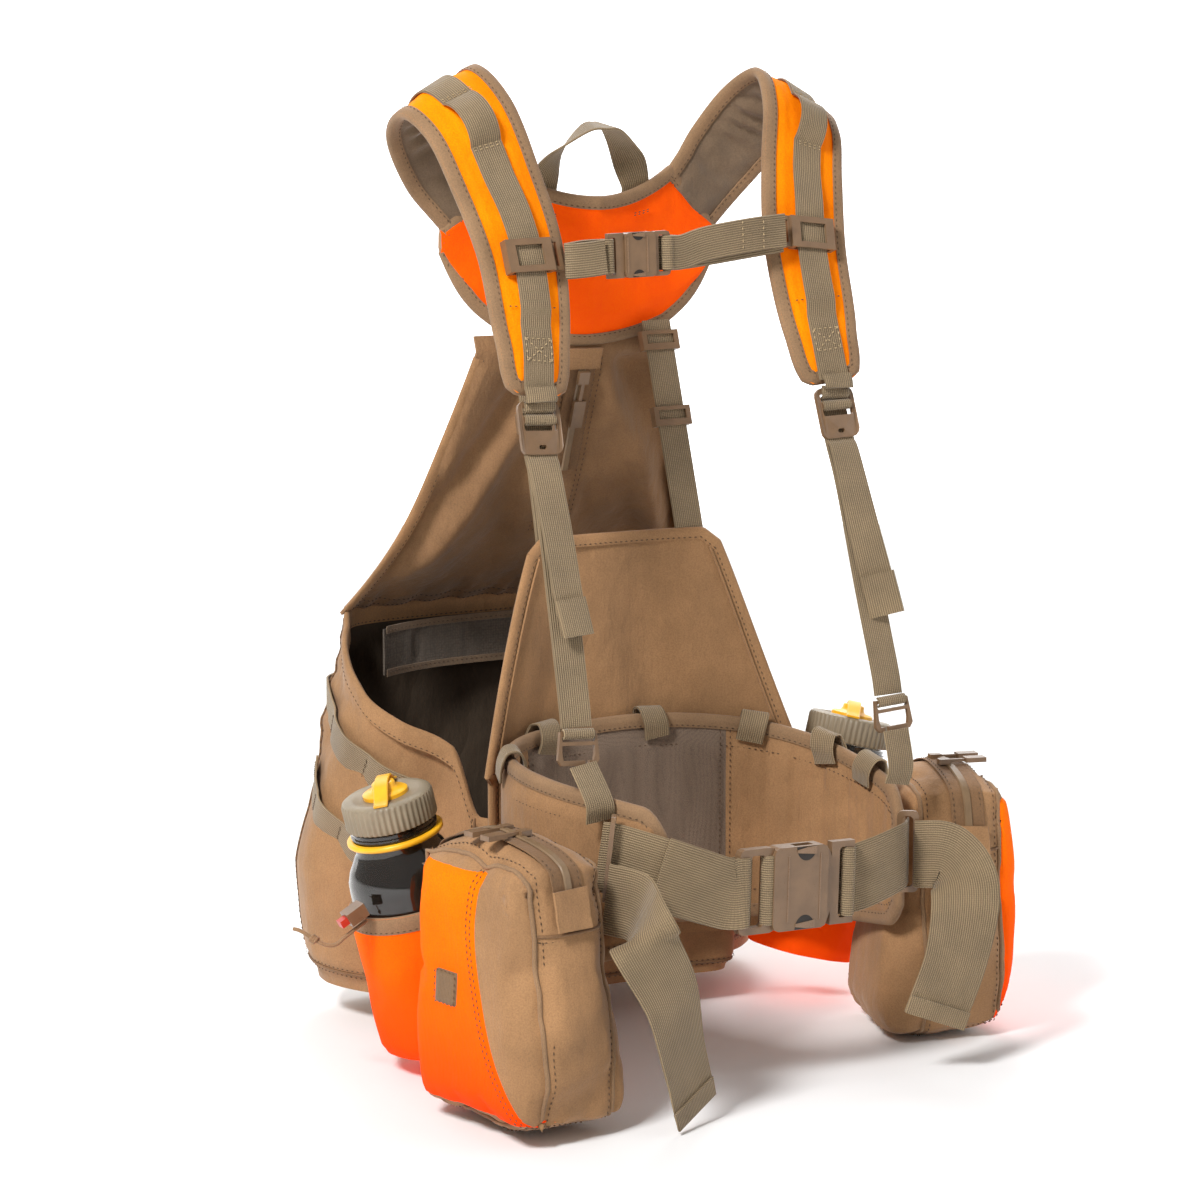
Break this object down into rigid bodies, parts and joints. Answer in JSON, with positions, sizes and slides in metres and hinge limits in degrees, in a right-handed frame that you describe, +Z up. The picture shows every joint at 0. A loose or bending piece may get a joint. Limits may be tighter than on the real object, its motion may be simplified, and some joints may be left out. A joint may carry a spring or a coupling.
{
  "type": "upland vest pack",
  "caption": "Padded yoke harness on a buckled hip belt, carrying two zipped hip pouches, two bottles in side pockets and an open-sided game bag across the back.",
  "frame": {"origin": "centre of the hip belt's ring, at about the middle of the pad's height, where the wearer's waist goes", "axes": "+Z up; the wearer faces -Y, so the buckles are at -Y and the game bag at +Y; the wearer's right is -X and left is +X"},
  "size_m": [0.5549, 0.4633, 0.7241],
  "materials": {
    "tan_cloth": "coyote-tan woven nylon",
    "orange_cloth": "blaze-orange woven nylon with tan binding",
    "webbing": "ribbed khaki nylon webbing",
    "plastic": "satin coyote-brown moulded plastic",
    "zipper_tape": "grey-brown tape",
    "bottle": "clear smoke-grey plastic",
    "cap": "khaki ribbed plastic",
    "yellow": "yellow soft plastic"
  },
  "bodies": {
    "harness": {"adjuster_webbing_left": "webbing", "adjuster_webbing_right": "webbing", "back_bib": "tan_cloth", "back_zipper": "zipper_tape", "belt_keeper_left": "plastic", "belt_keeper_right": "plastic", "bottle_pocket_left": "orange_cloth", "bottle_pocket_right": "orange_cloth", "cord_lock_barrel_right": "plastic", "daisy_webbing_left": "webbing", "daisy_webbing_right": "webbing", "game_bag": "tan_cloth", "gear_band": "zipper_tape", "grab_handle": "webbing", "hip_pouch_left": "tan_cloth", "hip_pouch_right": "tan_cloth", "hook_loop_left": "webbing", "hook_loop_right": "webbing", "lumbar_pad": "tan_cloth", "pocket_cord_right": "webbing", "pouch_zipper_left": "zipper_tape", "pouch_zipper_right": "zipper_tape", "shoulder_strap_left": "orange_cloth", "shoulder_strap_right": "orange_cloth", "torso_strap_left": "webbing", "torso_strap_right": "webbing", "upper_back_panel": "tan_cloth", "waist_buckle_socket": "plastic", "waist_tail_left": "webbing", "waist_tail_right": "webbing", "waist_webbing_left": "webbing", "waist_webbing_right": "webbing", "yoke_pad": "orange_cloth"},
    "sternum_strap": {"sternum_slider_right": "plastic", "sternum_slider_left": "plastic", "sternum_webbing_right": "webbing", "sternum_webbing_left": "webbing", "sternum_buckle_socket": "plastic"},
    "sternum_plug": {"sternum_buckle_plug": "plastic"},
    "waist_plug": {"waist_buckle_plug": "plastic"},
    "back_zip_pull": {"back_zip_pull": "plastic"},
    "cord_lock_button": {"cord_lock_button_right": "plastic"},
    "ladder_lock_right": {"ladder_lock_right": "plastic"},
    "g_hook_right": {"g_hook_right": "plastic"},
    "pouch_zip_pull_right_front": {"pouch_zip_pull_right_front": "plastic"},
    "pouch_zip_pull_right_rear": {"pouch_zip_pull_right_rear": "plastic"},
    "torso_adjuster_upper_right": {"torso_adjuster_upper_right": "plastic"},
    "torso_adjuster_lower_right": {"torso_adjuster_lower_right": "plastic"},
    "bottle_right": {"bottle_right": "bottle", "bottle_tether_right": "yellow"},
    "bottle_cap_right": {"bottle_cap_right": "cap"},
    "ladder_lock_left": {"ladder_lock_left": "plastic"},
    "g_hook_left": {"g_hook_left": "plastic"},
    "pouch_zip_pull_left_front": {"pouch_zip_pull_left_front": "plastic"},
    "pouch_zip_pull_left_rear": {"pouch_zip_pull_left_rear": "plastic"},
    "torso_adjuster_upper_left": {"torso_adjuster_upper_left": "plastic"},
    "torso_adjuster_lower_left": {"torso_adjuster_lower_left": "plastic"},
    "bottle_left": {"bottle_left": "bottle", "bottle_tether_left": "yellow"},
    "bottle_cap_left": {"bottle_cap_left": "cap"}
  },
  "joints": [
    {"name": "sternum_height", "type": "slide", "parent": "harness", "child": "sternum_strap", "axis": [-0.032, -0.3253, -0.9451], "range_m": [-0.006, 0.008]},
    {"name": "sternum_release", "type": "slide", "parent": "sternum_strap", "child": "sternum_plug", "axis": [-0.9994, 0, -0.035], "range_m": [0, 0.02]},
    {"name": "waist_release", "type": "slide", "parent": "harness", "child": "waist_plug", "axis": [0.9994, 0.02, -0.03], "range_m": [0, 0.034]},
    {"name": "back_zip", "type": "slide", "parent": "harness", "child": "back_zip_pull", "axis": [0, 0.3387, -0.9409], "range_m": [0, 0.06]},
    {"name": "cord_lock_press", "type": "slide", "parent": "harness", "child": "cord_lock_button", "axis": [0.8716, 0, 0.4903], "range_m": [0, 0.003], "stiffness_N_per_m": 400, "springref_m": -0.001},
    {"name": "ladder_lock_tilt_right", "type": "hinge", "parent": "harness", "child": "ladder_lock_right", "pos_m": [-0.12486, 0.00394, 0.33853], "axis": [-1, 0, 0], "range_deg": [0, 25]},
    {"name": "g_hook_swing_right", "type": "hinge", "parent": "harness", "child": "g_hook_right", "pos_m": [-0.13208, -0.06568, 0.11331], "axis": [1, 0, 0], "range_deg": [0, 20]},
    {"name": "pouch_zip_right_front", "type": "slide", "parent": "harness", "child": "pouch_zip_pull_right_front", "axis": [0.1736, -0.9848, 0], "range_m": [0, 0.03]},
    {"name": "pouch_zip_right_rear", "type": "slide", "parent": "harness", "child": "pouch_zip_pull_right_rear", "axis": [-0.1736, 0.9848, 0], "range_m": [0, 0.03]},
    {"name": "torso_adjuster_upper_right", "type": "slide", "parent": "harness", "child": "torso_adjuster_upper_right", "axis": [-0.0219, -0.2726, -0.9619], "range_m": [0, 0.025]},
    {"name": "torso_adjuster_lower_right", "type": "slide", "parent": "harness", "child": "torso_adjuster_lower_right", "axis": [-0.0219, -0.2726, -0.9619], "range_m": [-0.02, 0.025]},
    {"name": "bottle_lift_right", "type": "slide", "parent": "harness", "child": "bottle_right", "axis": [-0.2402, 0, 0.9707], "range_m": [0, 0.11]},
    {"name": "bottle_cap_turn_right", "type": "hinge", "parent": "bottle_right", "child": "bottle_cap_right", "pos_m": [-0.17309, 0.062, -0.11939], "axis": [-0.2402, 0, 0.9707], "continuous": true},
    {"name": "ladder_lock_tilt_left", "type": "hinge", "parent": "harness", "child": "ladder_lock_left", "pos_m": [0.12486, 0.00394, 0.33853], "axis": [-1, 0, 0], "range_deg": [0, 25]},
    {"name": "g_hook_swing_left", "type": "hinge", "parent": "harness", "child": "g_hook_left", "pos_m": [0.13208, -0.06568, 0.11331], "axis": [1, 0, 0], "range_deg": [0, 20]},
    {"name": "pouch_zip_left_front", "type": "slide", "parent": "harness", "child": "pouch_zip_pull_left_front", "axis": [-0.2756, -0.9613, 0], "range_m": [0, 0.03]},
    {"name": "pouch_zip_left_rear", "type": "slide", "parent": "harness", "child": "pouch_zip_pull_left_rear", "axis": [0.2756, 0.9613, 0], "range_m": [0, 0.03]},
    {"name": "torso_adjuster_upper_left", "type": "slide", "parent": "harness", "child": "torso_adjuster_upper_left", "axis": [0.0219, -0.2726, -0.9619], "range_m": [0, 0.025]},
    {"name": "torso_adjuster_lower_left", "type": "slide", "parent": "harness", "child": "torso_adjuster_lower_left", "axis": [0.0219, -0.2726, -0.9619], "range_m": [-0.02, 0.025]},
    {"name": "bottle_lift_left", "type": "slide", "parent": "harness", "child": "bottle_left", "axis": [0.2402, 0, 0.9707], "range_m": [0, 0.11]},
    {"name": "bottle_cap_turn_left", "type": "hinge", "parent": "bottle_left", "child": "bottle_cap_left", "pos_m": [0.16909, 0.103, -0.10939], "axis": [0.2402, 0, 0.9707], "continuous": true}
  ]
}
